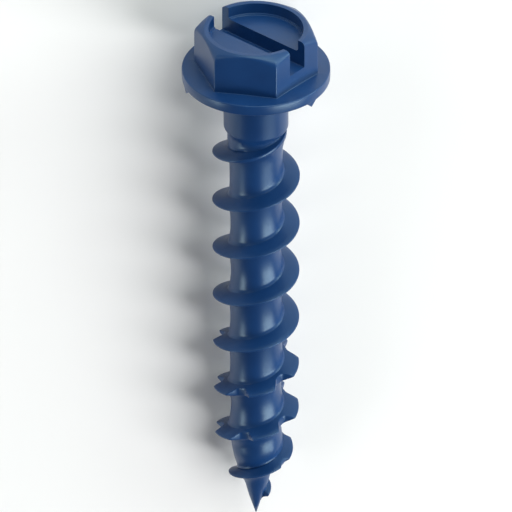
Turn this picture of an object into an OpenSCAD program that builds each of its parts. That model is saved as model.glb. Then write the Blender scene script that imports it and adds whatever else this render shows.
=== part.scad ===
// Concrete screw with a slotted hex washer head, lying on its side as it comes to rest.
// It is worked out with its axis upright, the underside of the flange at level zero and the point below.

/* [Length] */
// From the underside of the flange to the point
under_head_l = 38.1; // [30:0.1:80]
// Plain neck under the flange
neck_l = 4.12; // [3:0.02:8]
// Cone of the point
point_l = 6.2; // [4:0.1:9]

/* [Head] */
// Across the flats of the hexagon
hex_af = 7.94; // [7:0.01:9]
// From the underside of the flange to the top of the rim
head_h = 4.1; // [3.4:0.05:6]
// Outside of the flat rim on top of the hexagon
rim_d = 7.54; // [7.2:0.02:7.9]
// Slope of the chamfer that rounds off the corners
chamfer_angle = 28; // [20:1:40]
// Round recess in the top
recess_d = 6.88; // [6:0.02:7.1]
// Depth of the recess below the rim
recess_depth = 0.85; // [0.4:0.05:1.4]
// Rounding where the wall of the recess meets its floor
recess_round = 0.15; // [0.05:0.01:0.3]
// Width of the driver slot
slot_w = 1.59; // [1:0.01:2]
// Depth of the driver slot below the rim
slot_depth = 2.05; // [1.5:0.05:2.4]
// From the start of the thread round to the slot
head_angle = 41.2; // [0:0.1:60]

/* [Flange] */
// Outside of the flange
flange_d = 10.8; // [10:0.05:13]
// Thickness of the flange at its rim
flange_t = 0.8; // [0.5:0.02:1]
// Rise of the flange's top from the rim to the hexagon
flange_rise = 0.1; // [0.02:0.01:0.2]
// Rounding of the flange's two edges
edge_round = 0.08; // [0.04:0.01:0.2]
// Locking teeth under the flange
tooth_count = 3; // [2:1:6]
// Width of a tooth at the underside
tooth_w = 0.9; // [0.5:0.05:1.4]
// Depth of a tooth at the rim
tooth_h = 0.39; // [0.2:0.01:0.6]

/* [Shank] */
// Plain neck
neck_d = 4.73; // [4.4:0.01:5.2]
// Core between the turns of the thread
core_d = 3.92; // [3.5:0.01:4.2]
// Collar between the neck and the first turn
collar_d = 4.18; // [3.9:0.01:4.4]
// Length of the shoulder between the neck and the collar
shoulder_l = 0.5; // [0.3:0.05:1]

/* [Thread] */
// Crest of the thread at its upper end
crest_d = 6.43; // [5.8:0.01:7]
// Crest diameter that is lost along the thread, before the point
crest_taper = 0.2; // [0:0.02:0.4]
// Advance of the thread in one turn
lead = 4.1; // [3.4:0.05:5]
// Flat along the crest
crest_land = 0.11; // [0.08:0.01:0.3]
// Flat along the crest where the thread ends at the point
tip_land = 0.54; // [0.1:0.02:0.6]
// Slope of each flank
flank_angle = 20; // [15:0.5:25]
// Height of the fillet at the root of the flanks
root_fillet_h = 0.13; // [0.05:0.01:0.2]
// Length of the fillet along the core
root_fillet_l = 0.42; // [0.2:0.02:0.6]
// From the end of the neck to the start of the thread
start_gap = 0.3; // [0:0.01:0.5]
// Turn over which the cut-off crest rises to its full height
run_out = 0.44; // [0.3:0.01:0.7]
// Length at the point over which the lead eases
eased_l = 20.6; // [15:0.1:24]
// Advance that each eased turn loses
lead_ease = 0.046; // [0.01:0.001:0.08]
// Length at the point over which the lead gathers up
gather_l = 2.7; // [2.5:0.1:5]
// From the point to the blunt end of the thread
blunt_l = 1.8; // [1.5:0.02:2.2]
// Slope of the crest towards the point
taper_angle = 27; // [23:0.5:31]
// From the point on to where the slope of the crest would meet the axis
taper_over = 0.15; // [0.1:0.01:0.6]
// Softness of the bend where the slope of the crest begins
taper_blend = 1.25; // [0.3:0.05:1.8]

/* [Notches] */
// Angle from one notch of the lead thread to the next
notch_pitch = 70.8; // [60:0.1:90]
// Number of notches
notch_count = 14; // [5:1:18]
// Angle that a notch takes of the crest
notch_angle = 50; // [36:1:60]
// Diameter at the bottom of the notches
notch_d = 4.98; // [4.6:0.02:5.6]
// From the point to the first notch
notched_l = 15.12; // [10:0.02:20]

/* [Rest] */
// Notch that faces down where the screw lies, counted from the first one
rest_notch = 6; // [5:1:9]

/* [Hidden] */
$fn = 96;
hex_sides = 6;
flange_r = flange_d / 2;
neck_r = neck_d / 2;
core_r = core_d / 2;
collar_r = collar_d / 2;
crest_r = crest_d / 2;
hex_base = flange_t + flange_rise;
cut_margin = 1;

// Turns are counted down the screw from the start of the thread.
start_level = neck_l + start_gap;
start_r = (neck_r + collar_r) / 2;
ease_turn = (under_head_l - eased_l - start_level) / lead;
gather_turn = turn_at(under_head_l - gather_l);
gather_lead = lead - 2 * lead_ease * (gather_turn - ease_turn);
first_notch = turn_at(under_head_l - notched_l);
notch_flat = notch_angle / 6;
start_blend = 0.3;
least_height = 0.02;
fillet_foot = 0.25;
collar_end = level(0.25);
collar_fade = 0.5;

// Rows of points run across the thread, and each row has one point for every column.
rows_per_notch = 12;
rows_per_turn = round(rows_per_notch * 360 / notch_pitch);
notch_turn = rows_per_notch / rows_per_turn;
columns = 7;
hidden_turn = 0.56;
gather_share = 0.86;
plain_step = lead / 20;
rows_above = ceil((first_notch + hidden_turn) * rows_per_turn);
last_turn = gather_turn + gather_share * 2 * gather_l / gather_lead;
last_row = rows_above + floor((last_turn - first_notch) * rows_per_turn);

// The smaller of two lengths, with a soft change from one to the other.
function soft_min(a, b, blend) = min(a, b) - pow(max(blend - abs(a - b), 0), 2) / (4 * blend);

// Turn at which the crest reaches a depth, above the stretch where the lead gathers up.
function turn_at(depth) =
    let (eased = max(0, depth - start_level - lead * ease_turn))
    min(depth - start_level, lead * ease_turn) / lead
        + (lead - sqrt(lead * lead - 4 * lead_ease * eased)) / (2 * lead_ease);

// Share of the lead that is left at a turn, which falls to nothing at the point.
function pace(turn) = min(1, 1 - gather_lead * (turn - gather_turn) / (2 * gather_l));

// Distance of the crest below the flange.
function level(turn) =
    turn < gather_turn
        ? start_level + lead * turn - lead_ease * pow(max(0, turn - ease_turn), 2)
        : under_head_l - gather_l * pow(pace(turn), 2);

// Radius of the core, with the collar under the neck and the cone of the point.
function core(depth) =
    let (below = min(1, max(0, (depth - collar_end) / collar_fade)))
    min(collar_r + (core_r - collar_r) * below, core_r * (under_head_l - depth) / point_l);

// Radius of the crest where nothing is cut from it.
function full_crest(turn) =
    let (
        depth = level(turn),
        along = (depth - start_level) / (under_head_l - start_level),
        straight = crest_r - along * crest_taper / 2,
        falling = (under_head_l - depth + taper_over) * tan(taper_angle)
    )
    soft_min(straight, falling, taper_blend);

// Radius that is left where the thread starts beside the neck, which rises past the crest.
function start_limit(turn) = start_r + (crest_r - start_r) * turn / run_out;

// Radius that the notches leave, which is large between them.
function notch_limit(turn) =
    let (
        from_first = (turn - first_notch) / notch_turn,
        which = round(from_first),
        off = abs(from_first - which) * 360 * notch_turn,
        wall = max(0, off - notch_flat) / (notch_angle / 2 - notch_flat)
    )
    which < 0 || which >= notch_count || wall >= 1
        ? flange_r
        : notch_d / 2 + (crest_r - notch_d / 2) * wall;

// One row across the thread: the depth and radius of each column, from the gap above to the gap below.
function thread_row(turn) =
    let (
        mid = level(turn),
        size = pace(turn),
        threaded = under_head_l - mid > blunt_l,
        root = core(mid) + root_fillet_h * size,
        full = max(full_crest(turn), root + least_height),
        cut = min(soft_min(full, start_limit(turn), start_blend), notch_limit(turn)),
        crest = max(cut, root + least_height),
        flank = tan(flank_angle),
        land = tip_land + (crest_land - tip_land) * size,
        root_side = land / 2 + (full - root) * flank,
        crest_side = land / 2 + (full - crest) * flank,
        gap = (mid + level(turn - 1)) / 2,
        sides = threaded
            ? [root_side + root_fillet_l * size, root_side, crest_side]
            : [for (share = [3, 2, 1]) share * plain_step * size],
        rise = threaded ? root_fillet_h * size : 0
    )
    [
        [gap, core(gap)],
        [mid - sides[0], core(mid - sides[0]) + rise * fillet_foot],
        [mid - sides[1], core(mid - sides[1]) + rise],
        [mid - sides[2], threaded ? crest : core(mid - sides[2])],
        [mid + sides[2], threaded ? crest : core(mid + sides[2])],
        [mid + sides[1], core(mid + sides[1]) + rise],
        [mid + sides[0], core(mid + sides[0]) + rise * fillet_foot]
    ];

row_turns = [for (row = [0 : last_row]) first_notch + (row - rows_above) / rows_per_turn];
thread_rows = [for (turn = row_turns) thread_row(turn)];
thread_points = [
    for (row = [0 : last_row])
        for (spot = thread_rows[row])
            [spot[1] * cos(-360 * row_turns[row]), spot[1] * sin(-360 * row_turns[row]), -spot[0]]
];

// The screw lies on the flange and on the two teeth of the thread beside a notch.
rest_turn = first_notch + notch_turn * rest_notch;
down_angle = -360 * rest_turn;
down = [cos(down_angle), sin(down_angle), 0];
rest_tilt = min([for (spot = thread_points) if (spot[2] < -neck_l) atan2(flange_r - spot * down, -spot[2])]);
head_end = head_h * cos(rest_tilt) + rim_d / 2 * sin(rest_tilt);
point_end = under_head_l * cos(rest_tilt);

// Threaded core with the point, as one closed skin of triangles.
module thread() {
    turn_rows = rows_per_turn;
    end_column = columns - 1;
    top = len(thread_points);
    tip = top + 1;
    end_start = last_row - turn_rows;
    function at(row, column) = column < columns ? row * columns + column : (row + turn_rows) * columns;
    function quad(a, b, c, d) = [[b, a, d], [b, d, c]];
    skin = [
        for (row = [0 : last_row - 1])
            for (column = [0 : row < end_start ? end_column : end_column - 1])
                each quad(at(row, column), at(row + 1, column), at(row + 1, column + 1), at(row, column + 1))
    ];
    top_cap = [for (row = [0 : turn_rows - 1]) [top, at(row, 0), at(row + 1, 0)]];
    top_step = [for (column = [0 : end_column]) [at(0, column), top, at(0, column + 1)]];
    end_side = [at(end_start, end_column), for (column = [0 : end_column]) at(last_row, column)];
    end_first = at(end_start + 1, end_column);
    end_step = [for (place = [0 : end_column]) [end_first, end_side[place], end_side[place + 1]]];
    end_cap = [
        [end_first, at(last_row, end_column), tip],
        for (row = [end_start + 1 : last_row - 1]) [at(row + 1, end_column), at(row, end_column), tip]
    ];
    polyhedron(
        concat(thread_points, [[0, 0, -neck_l / 2], [0, 0, -under_head_l]]),
        concat(skin, top_cap, top_step, end_step, end_cap)
    );
}

// Flange, neck and shoulder, turned in one profile.
module turned_part() {
    inner_r = core_r / 2;
    shoulder_end = -neck_l - shoulder_l * (neck_r - inner_r) / (neck_r - collar_r);
    corner = [for (angle = [-90 : 15 : 90]) angle];
    rotate_extrude()
        polygon([
            [0, shoulder_end],
            [inner_r, shoulder_end],
            [neck_r, -neck_l],
            [neck_r, 0],
            for (angle = corner)
                [
                    flange_r - edge_round + edge_round * cos(angle),
                    (angle < 0 ? edge_round : flange_t - edge_round) + edge_round * sin(angle)
                ],
            [hex_af / 2, hex_base],
            [0, hex_base]
        ]);
}

// Hexagon with its chamfered corners, round recess and slot.
module hexagon() {
    chamfer_spread = head_h / tan(chamfer_angle);
    difference() {
        intersection() {
            rotate(180 / hex_sides)
                cylinder(h = head_h, d = hex_af / cos(180 / hex_sides), $fn = hex_sides);
            cylinder(h = head_h, r1 = rim_d / 2 + chamfer_spread, r2 = rim_d / 2);
        }
        translate([0, 0, head_h - recess_depth])
            rotate_extrude()
                polygon([
                    [0, 0],
                    for (angle = [-90 : 15 : 0])
                        [
                            recess_d / 2 - recess_round + recess_round * cos(angle),
                            recess_round + recess_round * sin(angle)
                        ],
                    [recess_d / 2, recess_depth + cut_margin],
                    [0, recess_depth + cut_margin]
                ]);
        translate([-hex_af, -slot_w / 2, head_h - slot_depth])
            cube([2 * hex_af, slot_w, slot_depth + cut_margin]);
    }
}

// Teeth that run out from the neck under the flange and end flush with its rim.
module teeth() {
    tooth_slope = atan2(tooth_h, flange_r - neck_r);
    intersection() {
        for (tooth = [0 : tooth_count - 1])
            rotate(tooth * 360 / tooth_count)
                translate([neck_r, 0, 0])
                    rotate([0, tooth_slope, 0])
                        rotate([90, 0, 90])
                            linear_extrude(flange_d)
                                polygon([[-tooth_w / 2, tooth_h], [0, 0], [tooth_w / 2, tooth_h]]);
        translate([0, 0, -2 * tooth_h])
            cylinder(h = 2 * tooth_h + flange_t / 2, r = flange_r - edge_round / 2);
    }
}

module concrete_screw() {
    color("#1f3d6b")
        translate([(point_end - head_end) / 2, 0, flange_r * cos(rest_tilt)])
            rotate([0, 90 - rest_tilt, 0])
                rotate(-down_angle)
                    union() {
                        turned_part();
                        thread();
                        rotate(-head_angle) {
                            hexagon();
                            teeth();
                        }
                    }
}

concrete_screw();
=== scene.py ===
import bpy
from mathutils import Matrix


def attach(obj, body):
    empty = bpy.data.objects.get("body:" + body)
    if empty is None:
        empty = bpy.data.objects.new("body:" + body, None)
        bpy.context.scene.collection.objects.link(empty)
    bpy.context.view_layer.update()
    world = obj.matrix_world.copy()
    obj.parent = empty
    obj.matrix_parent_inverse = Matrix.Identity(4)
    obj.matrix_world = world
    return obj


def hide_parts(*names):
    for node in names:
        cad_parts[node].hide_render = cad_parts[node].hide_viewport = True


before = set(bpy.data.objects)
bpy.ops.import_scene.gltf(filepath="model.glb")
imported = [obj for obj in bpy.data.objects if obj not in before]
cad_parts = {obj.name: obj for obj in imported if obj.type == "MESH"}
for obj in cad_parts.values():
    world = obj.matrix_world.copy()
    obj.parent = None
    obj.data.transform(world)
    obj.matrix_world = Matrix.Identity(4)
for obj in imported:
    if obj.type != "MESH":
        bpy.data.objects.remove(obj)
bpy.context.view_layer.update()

import math

import bmesh
import bpy
import numpy as np
from mathutils import Matrix, Vector

print("frame loaded")

mm = 0.001


# The screw is worked out upright in millimetres: axis along z, underside of the flange at zero,
# point below. Then it is laid down the way the frame has it.
shank = dict(
    underHead=38.1,                     # underside of the flange to the point
    neck=4.73, neckLong=4.12, shoulderLong=0.5,
    collar=4.18, core=3.92, pointLong=6.2,
)


def meshObject(name, verts, faces):
    mesh = bpy.data.meshes.new(name)
    mesh.from_pydata([tuple(v) for v in verts], [], faces)
    mesh.validate()
    obj = bpy.data.objects.new(name, mesh)
    bpy.context.scene.collection.objects.link(obj)
    return obj


def outwardFaces(obj):
    bm = bmesh.new()
    bm.from_mesh(obj.data)
    bmesh.ops.recalc_face_normals(bm, faces=bm.faces)
    bm.to_mesh(obj.data)
    bm.free()


def prism(name, verts):
    # solid between two outlines of as many points, one after the other in verts
    n = len(verts) // 2
    faces = [tuple(range(n)), tuple(range(n, 2 * n))]
    faces += [(k, (k + 1) % n, n + (k + 1) % n, n + k) for k in range(n)]
    solid = meshObject(name, verts, faces)
    outwardFaces(solid)
    return solid


def joinSolids(target, tool, operation):
    cut = target.modifiers.new("join", "BOOLEAN")
    cut.operation = operation
    cut.solver = "EXACT"
    cut.object = tool
    graph = bpy.context.evaluated_depsgraph_get()
    made = bpy.data.meshes.new_from_object(target.evaluated_get(graph))
    target.modifiers.clear()
    old = target.data
    target.data = made
    bpy.data.meshes.remove(old)
    bpy.data.objects.remove(tool)


# Head, flange and neck in one turned profile, whose hexagon changes with the angle
head = dict(
    hexFlats=7.94, height=4.1, rim=7.54, chamferAngle=28,
    recess=6.88, recessDepth=0.94,
    ledgeDepth=0.83, ledgeWide=0.07,    # narrow ledge low on the recess wall
    floorInset=0.112,                   # from the recess wall in to its floor
    slotWidth=1.59, slotDepth=2.05,
    turn=-41.2,                         # from the start of the thread round to the slot
    flange=10.8, flangeThick=0.8, flangeRise=0.06,
    chamferRound=0.9,                   # soft edge of the chamfer, less where the chamfer is narrow
    cornerRound=0.08,                   # upright edges of the hexagon
    footRound=0.05, rimRound=0.03, ledgeFootRound=0.05, ledgeEdgeRound=0.03, recessRound=0.06,
    slotRound=0.05, flangeTopRound=0.09, flangeLowRound=0.08,
    neckRound=0.12, shoulderRound=0.35, innerRound=0.02,
    roundShare=0.49,                    # most of an edge's length that one rounding takes
    slotOver=1,                         # how far the slot's cutter stands above the rim
    flatSteps=24, cornerSteps=8, arcSteps=5,
)


def roundedLine(points):
    # each point is (radius, height, rounding); a corner becomes a small arc
    line = [points[0][:2]]
    for before, here, after in zip(points, points[1:], points[2:]):
        corner = Vector(here[:2])
        toBefore = Vector(before[:2]) - corner
        toAfter = Vector(after[:2]) - corner
        a, b = toBefore.normalized(), toAfter.normalized()
        half = math.acos(max(-1, min(1, a.dot(b)))) / 2
        most = head["roundShare"] * min(toBefore.length, toAfter.length)
        back = min(here[2] / math.tan(half), most)
        radius = back * math.tan(half)
        start, end = corner + a * back, corner + b * back
        middle = corner + (a + b).normalized() * radius / math.sin(half)
        fromAngle = math.atan2(start.y - middle.y, start.x - middle.x)
        sweep = math.atan2(end.y - middle.y, end.x - middle.x) - fromAngle
        sweep = (sweep + math.pi) % (2 * math.pi) - math.pi
        for step in range(head["arcSteps"] + 1):
            angle = fromAngle + sweep * step / head["arcSteps"]
            line.append((middle.x + radius * math.cos(angle), middle.y + radius * math.sin(angle)))
    line.append(points[-1][:2])
    return line


def hexOutline():
    # angle and radius of the rounded hexagon all the way round, flats facing 0, 60, 120 ...
    flat, rounding = head["hexFlats"] / 2, head["cornerRound"]
    sideAngle = math.radians(60)
    reach = (flat - rounding) * math.tan(sideAngle / 2)
    outline = []
    for side in range(6):
        facing = sideAngle * side
        for step in range(head["flatSteps"]):
            across = -reach + 2 * reach * step / head["flatSteps"]
            outline.append((facing + math.atan2(across, flat), math.hypot(across, flat)))
        for step in range(head["cornerSteps"]):
            angle = sideAngle * step / head["cornerSteps"]
            x = flat - rounding + rounding * math.cos(angle)
            y = reach + rounding * math.sin(angle)
            outline.append((facing + math.atan2(y, x), math.hypot(x, y)))
    return outline


def turnedHead():
    h = head
    rim, recess, flange, neck = h["rim"] / 2, h["recess"] / 2, h["flange"] / 2, shank["neck"] / 2
    inner = shank["core"] / 4           # ends inside the core
    shoulderDrop = shank["shoulderLong"] / (neck - shank["collar"] / 2)
    low = -shank["neckLong"] - shoulderDrop * (neck - inner)
    ledge, floor = h["height"] - h["ledgeDepth"], h["height"] - h["recessDepth"]
    chamferDrop = math.tan(math.radians(h["chamferAngle"]))
    flangeSlope = h["flangeRise"] / (flange - h["hexFlats"] / 2)
    verts, rows = [], []
    for angle, hexRadius in hexOutline():
        line = roundedLine([
            (0.0, low, 0),
            (inner, low, h["innerRound"]),
            (neck, -shank["neckLong"], h["shoulderRound"]),
            (neck, 0, h["neckRound"]),
            (flange, 0, h["flangeLowRound"]),
            (flange, h["flangeThick"], h["flangeTopRound"]),
            (hexRadius, h["flangeThick"] + flangeSlope * (flange - hexRadius), h["footRound"]),
            (hexRadius, h["height"] - chamferDrop * (hexRadius - rim), h["chamferRound"]),
            (rim, h["height"], h["rimRound"]),
            (recess, h["height"], h["rimRound"]),
            (recess, ledge, h["ledgeFootRound"]),
            (recess - h["ledgeWide"], ledge, h["ledgeEdgeRound"]),
            (recess - h["floorInset"], floor, h["recessRound"]),
            (0.0, floor, 0),
        ])
        first = len(verts)
        for radius, z in line[1:-1]:
            verts.append((radius * math.cos(angle), radius * math.sin(angle), z))
        rows.append(range(first, len(verts)))
    lowMiddle, floorMiddle = len(verts), len(verts) + 1
    verts += [(0, 0, low), (0, 0, floor)]
    faces = []
    for row, nextRow in zip(rows, [*rows[1:], rows[0]]):
        faces.append((lowMiddle, nextRow[0], row[0]))
        faces.append((floorMiddle, row[-1], nextRow[-1]))
        for k in range(len(row) - 1):
            faces.append((row[k], nextRow[k], nextRow[k + 1], row[k + 1]))
    turned = meshObject("turnedHead", verts, faces)
    outwardFaces(turned)
    return turned


def slotCutter():
    h = head
    half, floor, r = h["slotWidth"] / 2, h["height"] - h["slotDepth"], h["slotRound"]
    outline = [(half, h["height"] + h["slotOver"])]
    for step in range(h["arcSteps"] + 1):
        angle = math.radians(90) * step / h["arcSteps"]
        outline.append((half - r + r * math.cos(angle), floor + r - r * math.sin(angle)))
    outline += [(-y, z) for y, z in reversed(outline)]
    reach = h["hexFlats"]               # well past both sides
    return prism("slotCutter", [(x, y, z) for x in (-reach, reach) for y, z in outline])


# Teeth under the flange: wedges that deepen towards the rim
teeth = dict(
    count=3, width=0.9, depth=0.39,
    edge=0.05,                          # blunting of the lower edge
    edgeShare=0.4, leastEdge=0.001,     # less where the tooth is shallow
    bluntWide=0.4, bluntDeep=0.55,      # flat of the blunted edge, as shares of the blunting
    inset=0.03,                         # from the flange's rim
    sunk=0.2,                           # how far a tooth reaches up into the flange
)


def flangeTooth(number):
    t = teeth
    start, rim = shank["neck"] / 2, head["flange"] / 2
    slope = t["depth"] / (rim - start)
    spread = t["width"] / 2 / t["depth"]   # half width for each millimetre of depth
    verts = []
    for x in (start, rim - t["inset"]):
        deep = (x - start) * slope
        edge = min(t["edge"], deep * t["edgeShare"] + t["leastEdge"])
        half = [
            (-(deep + t["sunk"]) * spread, t["sunk"]),
            (-edge * spread, -deep + edge),
            (-t["bluntWide"] * edge * spread, -deep + t["bluntDeep"] * edge),
        ]
        verts += [(x, y, z) for y, z in half]
        verts += [(x, -y, z) for y, z in reversed(half)]
    tooth = prism("tooth", verts)
    tooth.data.transform(Matrix.Rotation(math.radians(number * 360 / t["count"]), 4, "Z"))
    return tooth


# Thread with its core and point, one skin of rows across the helix
thread = dict(
    shank,
    lead=4.1, easedLong=20.6,
    leadEase=0.046,                     # each eased turn is shorter than the one before by twice this
    gatherLong=2.7, gatherShare=0.86,   # the lead gathers up before the point, with rows on this share
    crest=6.43, crestTaper=0.2, crestLand=0.11, flankAngle=20,
    crestSoft=0.035, crestSoftShare=0.3,             # softened edge of the crest, less on a low one
    crestArc=((1, 1, 1), (0.86, 0.1, 0.28), (0.5, 0, 0)),   # shares of land, lean and drop along it
    filletHigh=0.13, filletLong=0.36,
    startGap=0.3, runOut=0.44, startBlend=0.3,       # cut-off start beside the neck
    taperAngle=27, taperOver=0.15, taperBlend=1.25,  # slope of the crest towards the point
    tipLand=0.54, bluntLong=1.8,        # land of the crest by the point, and where the thread ends
    leastHigh=0.02,                     # what the cuts leave of the crest above the fillet
    notchCount=14, notchedLong=15.12, notchBottom=4.75,
    notchTurn=12 / 61,                  # turns from one notch to the next
    notchSteep=(12.5, 9), notchGentle=(4, 11),       # degrees from a notch's middle to a wall, and up it
    notchBlend=0.09, notchSoft=0.25,    # rounding of a notch's edges and of its bottom
    notchOver=1.3, notchAway=9.0,       # share of its height where a wall ends, and the radius beyond it
    collarTurn=0.25, collarFade=0.5,    # where the collar ends, and how long it fades into the core
    gapBow=0.12,                        # hollow of the rolled core between two turns
    gapSwell=(0, 0.15, 0.7, 1.15, 0.7, 0.35, 1.15, 0.77),   # its share in each gap
    gapSkew=(0, 0, 0, 0, 0, 0, 0, 2),   # how far it moves up in that gap
    gapTurn=0.25,                       # part of the turn where a gap has its full share
    plainHalf=0.615,                    # half a section where the thread has ended
    filletSteps=(1.0, 0.75, 0.5, 0.25), flankSteps=(0.0, 0.33, 0.66), gapSteps=(0.35, 0.7),
    hiddenTurn=0.56,                    # part of a turn above the start, hidden in the neck
    rowsPerTurn=305,
)


class Helix:
    # lengths along the screw as functions of the turn, counted down from the start of the thread
    def __init__(self, t):
        self.t = t
        self.start = t["neckLong"] + t["startGap"]
        self.easeTurn = (t["underHead"] - t["easedLong"] - self.start) / t["lead"]
        self.gatherTurn = self.turnAt(t["underHead"] - t["gatherLong"])
        self.gatherLead = t["lead"] - 2 * t["leadEase"] * (self.gatherTurn - self.easeTurn)
        self.firstNotch = self.turnAt(t["underHead"] - t["notchedLong"])
        self.collarEnd = self.level(t["collarTurn"])

    def turnAt(self, depth):
        lead, ease = self.t["lead"], self.t["leadEase"]
        eased = max(0, depth - self.start - lead * self.easeTurn)
        straight = min(depth - self.start, lead * self.easeTurn) / lead
        return straight + (lead - math.sqrt(lead * lead - 4 * ease * eased)) / (2 * ease)

    def pace(self, turn):
        # share of the lead that is left, which falls to nothing at the point
        gathered = self.gatherLead * (turn - self.gatherTurn) / (2 * self.t["gatherLong"])
        return np.clip(1 - gathered, 0, 1)

    def level(self, turn):
        t = self.t
        eased = t["leadEase"] * np.maximum(0, turn - self.easeTurn) ** 2
        plain = self.start + t["lead"] * turn - eased
        gathered = t["underHead"] - t["gatherLong"] * self.pace(turn) ** 2
        return np.where(turn < self.gatherTurn, plain, gathered)

    def core(self, depth):
        t = self.t
        below = np.clip((depth - self.collarEnd) / t["collarFade"], 0, 1)
        straight = t["collar"] / 2 + (t["core"] - t["collar"]) / 2 * below
        return np.minimum(straight, t["core"] / 2 * (t["underHead"] - depth) / t["pointLong"])

    def softMin(self, a, b, blend):
        return np.minimum(a, b) - np.maximum(blend - np.abs(a - b), 0) ** 2 / (4 * blend)

    def fullCrest(self, turn):
        t = self.t
        depth = self.level(turn)
        along = (depth - self.start) / (t["underHead"] - self.start)
        straight = t["crest"] / 2 - along * t["crestTaper"] / 2
        falling = (t["underHead"] - depth + t["taperOver"]) * math.tan(math.radians(t["taperAngle"]))
        return self.softMin(straight, falling, t["taperBlend"])

    def startLimit(self, turn):
        # what is left of the crest where the thread starts beside the neck
        t = self.t
        first = (t["neck"] + t["collar"]) / 4
        return first + (t["crest"] / 2 - first) * turn / t["runOut"]

    def bow(self, turn, share):
        # hollow of the gap above a turn, where share runs from -1 at its upper end to 1 at its lower
        t = self.t
        gaps = np.arange(len(t["gapSwell"])) + t["gapTurn"]
        swell, skew = np.interp(turn, gaps, t["gapSwell"]), np.interp(turn, gaps, t["gapSkew"])
        return t["gapBow"] * swell * self.pace(turn) * (1 - share ** 2) * (1 - share) ** skew

    def notchLimit(self, turn):
        # radius that the notches leave of the crest
        t = self.t
        fromFirst = (turn - self.firstNotch) / t["notchTurn"]
        which = np.round(fromFirst)
        off = (fromFirst - which) * 360 * t["notchTurn"]
        (steepAt, steepLong), (gentleAt, gentleLong) = t["notchSteep"], t["notchGentle"]
        wall = np.maximum((-off - steepAt) / steepLong, (off - gentleAt) / gentleLong)
        wall = (wall + np.hypot(wall, t["notchSoft"])) / 2
        cut = t["notchBottom"] / 2 + (t["crest"] - t["notchBottom"]) / 2 * wall
        away = (which < 0) | (which >= t["notchCount"]) | (wall >= t["notchOver"])
        return np.where(away, t["notchAway"], cut)


def threadTurns(helix):
    # turn of each row, counted so that one row lies in the middle of the first notch
    t = thread
    perTurn = t["rowsPerTurn"]
    rowsAbove = math.ceil((helix.firstNotch + t["hiddenTurn"]) * perTurn)
    lastTurn = helix.gatherTurn + t["gatherShare"] * 2 * t["gatherLong"] / helix.gatherLead
    lastRow = rowsAbove + math.floor((lastTurn - helix.firstNotch) * perTurn)
    return helix.firstNotch + (np.arange(lastRow + 1) - rowsAbove) / perTurn


def threadSections(helix, turn):
    # depth and radius of each row's points, from the gap above the thread to the gap below it
    t = thread
    mid, size = helix.level(turn), helix.pace(turn)
    threaded = t["underHead"] - mid > t["bluntLong"]
    flank = math.tan(math.radians(t["flankAngle"]))
    rise = t["filletHigh"] * size
    root = helix.core(mid) + rise
    full = np.maximum(helix.fullCrest(turn), root + t["leastHigh"])
    started = helix.softMin(full, helix.startLimit(turn), t["startBlend"])
    notched = helix.softMin(started, helix.notchLimit(turn), t["notchBlend"])
    crest = np.maximum(notched, root + t["leastHigh"])
    high = crest - root
    land = t["tipLand"] + (t["crestLand"] - t["tipLand"]) * size
    rootSide = land / 2 + (full - root) * flank
    crestSide = land / 2 + (full - crest) * flank
    footSide = rootSide + t["filletLong"] * size
    thinner = (full - started) * flank  # the first stretch is thinner on its lower side
    plainSide = t["plainHalf"] * size
    foot = np.where(threaded, footSide, plainSide)
    gap, nextGap = (mid + helix.level(turn - 1)) / 2, (mid + helix.level(turn + 1)) / 2

    # half a section from the gap to the crest, as distance sideways and height above core or crest
    half = []
    for share in t["filletSteps"]:      # meets the core flat and leans into the flank
        half.append((rootSide + (footSide - rootSide) * share, "core", rise * (1 - share) ** 2))
    for share in t["flankSteps"]:
        half.append((rootSide + (crestSide - rootSide) * share, "crest", -high * (1 - share)))
    soft = np.minimum(t["crestSoft"], high * t["crestSoftShare"])
    for landShare, leanShare, dropShare in t["crestArc"]:
        half.append((crestSide * landShare + soft * leanShare * flank, "crest", -soft * dropShare))

    depths, radii = [gap], [helix.core(gap) - helix.bow(turn, 0)]
    for share in t["gapSteps"]:         # hollow above the thread
        depths.append(gap + (mid - foot - gap) * share)
        radii.append(helix.core(depths[-1]) - helix.bow(turn, share))
    for sign in (-1, 1):
        for number, (side, base, add) in enumerate(half if sign < 0 else half[::-1]):
            place = number if sign < 0 else len(half) - 1 - number
            plain = plainSide * (len(half) - place) / len(half)
            side = side - thinner if sign > 0 else side
            depth = mid + sign * np.where(threaded, side, plain)
            radius = (helix.core(depth) if base == "core" else crest) + add
            depths.append(depth)
            radii.append(np.where(threaded, radius, helix.core(depth)))
    for share in reversed(t["gapSteps"]):   # hollow below it
        depths.append(nextGap + (mid + foot - thinner - nextGap) * share)
        radii.append(helix.core(depths[-1]) - helix.bow(turn + 1, -share))
    return np.array(depths).T, np.array(radii).T


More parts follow.
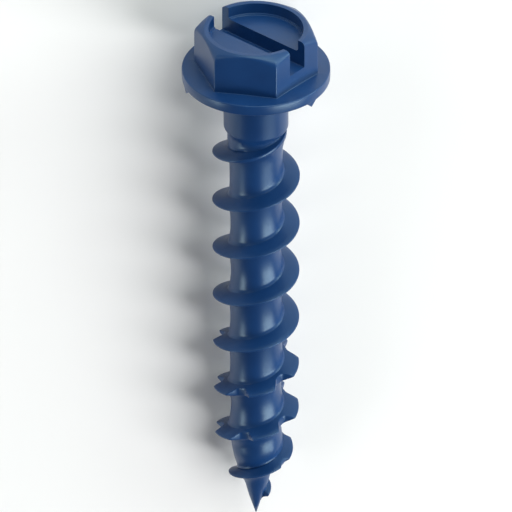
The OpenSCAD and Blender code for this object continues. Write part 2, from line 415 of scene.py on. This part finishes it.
def threadSkin():
    helix = Helix(thread)
    turn = threadTurns(helix)
    depths, radii = threadSections(helix, turn)
    perTurn, lastRow, columns = thread["rowsPerTurn"], len(turn) - 1, depths.shape[1]
    angle = (-2 * np.pi * turn)[:, None]
    points = np.stack([radii * np.cos(angle), radii * np.sin(angle), -depths], axis=2).reshape(-1, 3)
    top, tip = len(points), len(points) + 1
    points = np.vstack([points, [[0, 0, -shank["neckLong"] / 2], [0, 0, -shank["underHead"]]]])

    def at(row, column):
        # a row's last point is followed by the first one of the row a turn below
        return row * columns + column if column < columns else (row + perTurn) * columns

    last, endStart = columns - 1, lastRow - perTurn
    faces = []
    for row in range(lastRow):
        for k in range(columns if row < endStart else last):
            faces.append((at(row + 1, k), at(row, k), at(row, k + 1), at(row + 1, k + 1)))
    faces += [(top, at(row, 0), at(row + 1, 0)) for row in range(perTurn)]
    faces += [(at(0, k), top, at(0, k + 1)) for k in range(columns)]
    endFirst = at(endStart + 1, last)
    endSide = [at(endStart, last)] + [at(lastRow, k) for k in range(columns)]
    faces += [(endFirst, a, b) for a, b in zip(endSide, endSide[1:])]
    faces.append((endFirst, at(lastRow, last), tip))
    faces += [(at(row + 1, last), at(row, last), tip) for row in range(endStart + 1, lastRow)]
    skin = meshObject("threadSkin", points, faces)
    outwardFaces(skin)
    return skin


screw = turnedHead()
joinSolids(screw, slotCutter(), "DIFFERENCE")
print("head turned and slotted", len(screw.data.polygons))
for number in range(teeth["count"]):
    joinSolids(screw, flangeTooth(number), "UNION")
print("teeth joined", len(screw.data.polygons))
screw.data.transform(Matrix.Rotation(math.radians(head["turn"]), 4, "Z"))
joinSolids(screw, threadSkin(), "UNION")
print("thread joined", len(screw.data.polygons))


# The screw lies on its flange and on the thread, beside the notch that is turned to the floor
lie = dict(
    tilt=4.63448,                       # degrees that the axis rises towards the head
    downAngle=262.017,                  # degrees that turn the notch down
)
edges = dict(sharpAngle=32)             # edges bent by more degrees than this stay crisp


def layingDown():
    tilt = math.radians(lie["tilt"])
    headEnd = head["height"] * math.cos(tilt) + head["rim"] / 2 * math.sin(tilt)
    pointEnd = shank["underHead"] * math.cos(tilt)
    return (
        Matrix.Translation(((pointEnd - headEnd) / 2, 0, head["flange"] / 2 * math.cos(tilt)))
        @ Matrix.Rotation(math.radians(90) - tilt, 4, "Y")
        @ Matrix.Rotation(math.radians(lie["downAngle"]), 4, "Z")
    )


layDown = layingDown()
layTurn = layDown.to_3x3()
screw.name = "concrete_screw_coated"
screw.data.transform(Matrix.Scale(mm, 4) @ layDown)
screw.data.shade_smooth()
screw.data.set_sharp_from_angle(angle=math.radians(edges["sharpAngle"]))
print("screw laid down")


def hexColour(code):
    # sRGB hex to the linear colour that the shader takes
    parts = [int(code[k:k + 2], 16) / 255 for k in (1, 3, 5)]
    return [*((c / 12.92 if c <= 0.04045 else ((c + 0.055) / 1.055) ** 2.4) for c in parts), 1.0]


def addNode(tree, kind, settings=None, links=None):
    node = tree.nodes.new(kind)
    for name, value in (settings or {}).items():
        node.inputs[name].default_value = value
    for name, source in (links or {}).items():
        tree.links.new(source, node.inputs[name])
    return node


# Blue baked coating over zinc-plated carbon steel: sprayed thin and stoved, so it follows every edge.
# It gives a deep blue with a half-gloss skin whose reflections take a pale blue tint, faint tone
# patches where it lies thicker, and a soft unevenness that bends the edges of the highlights.
coating = dict(
    deep="#103262", light="#133A6D", tint="#D0F2FA", ior=1.5,
    patchMm=2.5, patchDetail=2.0, patchRange=(0.2, 0.8),   # thicker and thinner spots
    roughness=0.33, roughnessSpread=0.03,
    peelMm=0.7, peelDetail=1.0, peelHighMm=0.0012,         # unevenness left by spraying
)


def bakedBlueCoating():
    c = coating
    mat = bpy.data.materials.new("baked_blue_coating")
    mat.use_nodes = True
    tree = mat.node_tree
    tree.nodes.clear()
    place = {"Vector": addNode(tree, "ShaderNodeTexCoord").outputs["Object"]}
    patchLook = {"Scale": 1 / (c["patchMm"] * mm), "Detail": c["patchDetail"]}
    patches = addNode(tree, "ShaderNodeTexNoise", patchLook, place).outputs["Fac"]
    tone = addNode(tree, "ShaderNodeValToRGB", links={"Fac": patches})
    for stop, spot, code in zip(tone.color_ramp.elements, c["patchRange"], (c["deep"], c["light"])):
        stop.position = spot
        stop.color = hexColour(code)
    gloss = addNode(tree, "ShaderNodeMapRange", {
        "From Min": c["patchRange"][0],
        "From Max": c["patchRange"][1],
        "To Min": c["roughness"] - c["roughnessSpread"],
        "To Max": c["roughness"] + c["roughnessSpread"],
    }, {"Value": patches})
    peelLook = {"Scale": 1 / (c["peelMm"] * mm), "Detail": c["peelDetail"]}
    peel = addNode(tree, "ShaderNodeTexNoise", peelLook, place).outputs["Fac"]
    bumpLook = {"Strength": 1.0, "Distance": c["peelHighMm"] * mm}
    bump = addNode(tree, "ShaderNodeBump", bumpLook, {"Height": peel})
    skinLook = {"IOR": c["ior"], "Specular Tint": hexColour(c["tint"])}
    skin = addNode(tree, "ShaderNodeBsdfPrincipled", skinLook, {
        "Base Color": tone.outputs["Color"],
        "Roughness": gloss.outputs["Result"],
        "Normal": bump.outputs["Normal"],
    })
    addNode(tree, "ShaderNodeOutputMaterial", links={"Surface": skin.outputs["BSDF"]})
    return mat


screw.data.materials.clear()
screw.data.materials.append(bakedBlueCoating())
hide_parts("concrete_screw")
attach(screw, "root")
print("coating on, triangles", sum(len(p.vertices) - 2 for p in screw.data.polygons))


# Photo's view in the screw's own directions: x to the right, y away, z towards the head
view = dict(
    elevation=32.9, centre=(0, 0, -15.545), frameMm=37.43, distanceMm=1300, sensorMm=36, nearMm=10,
)


def addCamera():
    e = math.radians(view["elevation"])
    right = layTurn @ Vector((1, 0, 0))
    up = layTurn @ Vector((0, math.sin(e), math.cos(e)))
    back = layTurn @ Vector((0, -math.cos(e), math.sin(e)))
    spot = (layDown @ Vector(view["centre"]) + back * view["distanceMm"]) * mm
    data = bpy.data.cameras.new("camera")
    data.sensor_width = view["sensorMm"]
    data.lens = view["sensorMm"] * view["distanceMm"] / view["frameMm"]
    data.clip_start = view["nearMm"] * mm
    camera = bpy.data.objects.new("camera", data)
    camera.matrix_world = Matrix.Translation(spot) @ Matrix((right, up, back)).transposed().to_4x4()
    bpy.context.scene.collection.objects.link(camera)
    bpy.context.scene.camera = camera


# Softboxes in the screw's own directions: angle from the camera's side to the right, height towards
# the head, spread as half angles across and along the screw, and brightness where white is 1
softboxes = [
    dict(name="rightBox", side=49, height=-18, across=22, along=9, bright=11.0, tint="#FFFFFF"),
    dict(name="leftBox", side=-61, height=-18, across=9, along=8, bright=8.5, tint="#FFFFFF"),
    dict(name="keyBox", side=45, height=40, across=18, along=12, bright=2.4, tint="#FFFFFF"),
    dict(name="sideBox", side=86, height=24, across=14, along=14, bright=6.4, tint="#F4FFF8"),
    dict(name="endBox", side=50, height=60, across=18, along=12, bright=3.6, tint="#F4FFFA"),
    dict(name="lowBox", side=4, height=83, across=14, along=9, bright=4.5, tint="#F4FFFA"),
    dict(name="fillBox", side=-58, height=36, across=16, along=12, bright=1.4, tint="#FFFFFF"),
]
lightRig = dict(aimedAt=(0, 0, -16), awayMm=700)


def addSoftbox(box):
    side, height = math.radians(box["side"]), math.radians(box["height"])
    level = math.cos(height)
    toward = layTurn @ Vector((math.sin(side) * level, -math.cos(side) * level, math.sin(height)))
    across = (layTurn @ Vector((0, 0, 1))).cross(toward).normalized()
    turned = Matrix((across, toward.cross(across), toward)).transposed().to_4x4()
    spot = (layDown @ Vector(lightRig["aimedAt"]) + toward * lightRig["awayMm"]) * mm
    data = bpy.data.lights.new(box["name"], "AREA")
    data.shape = "RECTANGLE"
    data.size = 2 * lightRig["awayMm"] * mm * math.tan(math.radians(box["across"]))
    data.size_y = 2 * lightRig["awayMm"] * mm * math.tan(math.radians(box["along"]))
    data.energy = box["bright"] * math.pi * data.size * data.size_y
    data.color = hexColour(box["tint"])[:3]
    lamp = bpy.data.objects.new(box["name"], data)
    lamp.matrix_world = Matrix.Translation(spot) @ turned
    bpy.context.scene.collection.objects.link(lamp)


# Matt white board, pressed smooth: a plain pale ground without gloss
floorLook = dict(side=4.0, colour="#F2F2F2", roughness=0.9)   # side in metres


def addFloor():
    s = floorLook["side"] / 2
    floor = meshObject("floor", [(-s, -s, 0), (s, -s, 0), (s, s, 0), (-s, s, 0)], [(0, 1, 2, 3)])
    mat = bpy.data.materials.new("matt_white_board")
    mat.use_nodes = True
    skin = mat.node_tree.nodes["Principled BSDF"]
    skin.inputs["Base Color"].default_value = hexColour(floorLook["colour"])
    skin.inputs["Roughness"].default_value = floorLook["roughness"]
    floor.data.materials.append(mat)


studio = dict(sky="#FFFFFF", skyStrength=0.12)


def addWorld():
    world = bpy.data.worlds.new("studio")
    bpy.context.scene.world = world
    world.use_nodes = True
    back = world.node_tree.nodes["Background"]
    back.inputs["Color"].default_value = hexColour(studio["sky"])
    back.inputs["Strength"].default_value = studio["skyStrength"]


addCamera()
for box in softboxes:
    addSoftbox(box)
addFloor()
addWorld()
bpy.context.scene.view_settings.view_transform = "Standard"
print("camera, light and floor set")
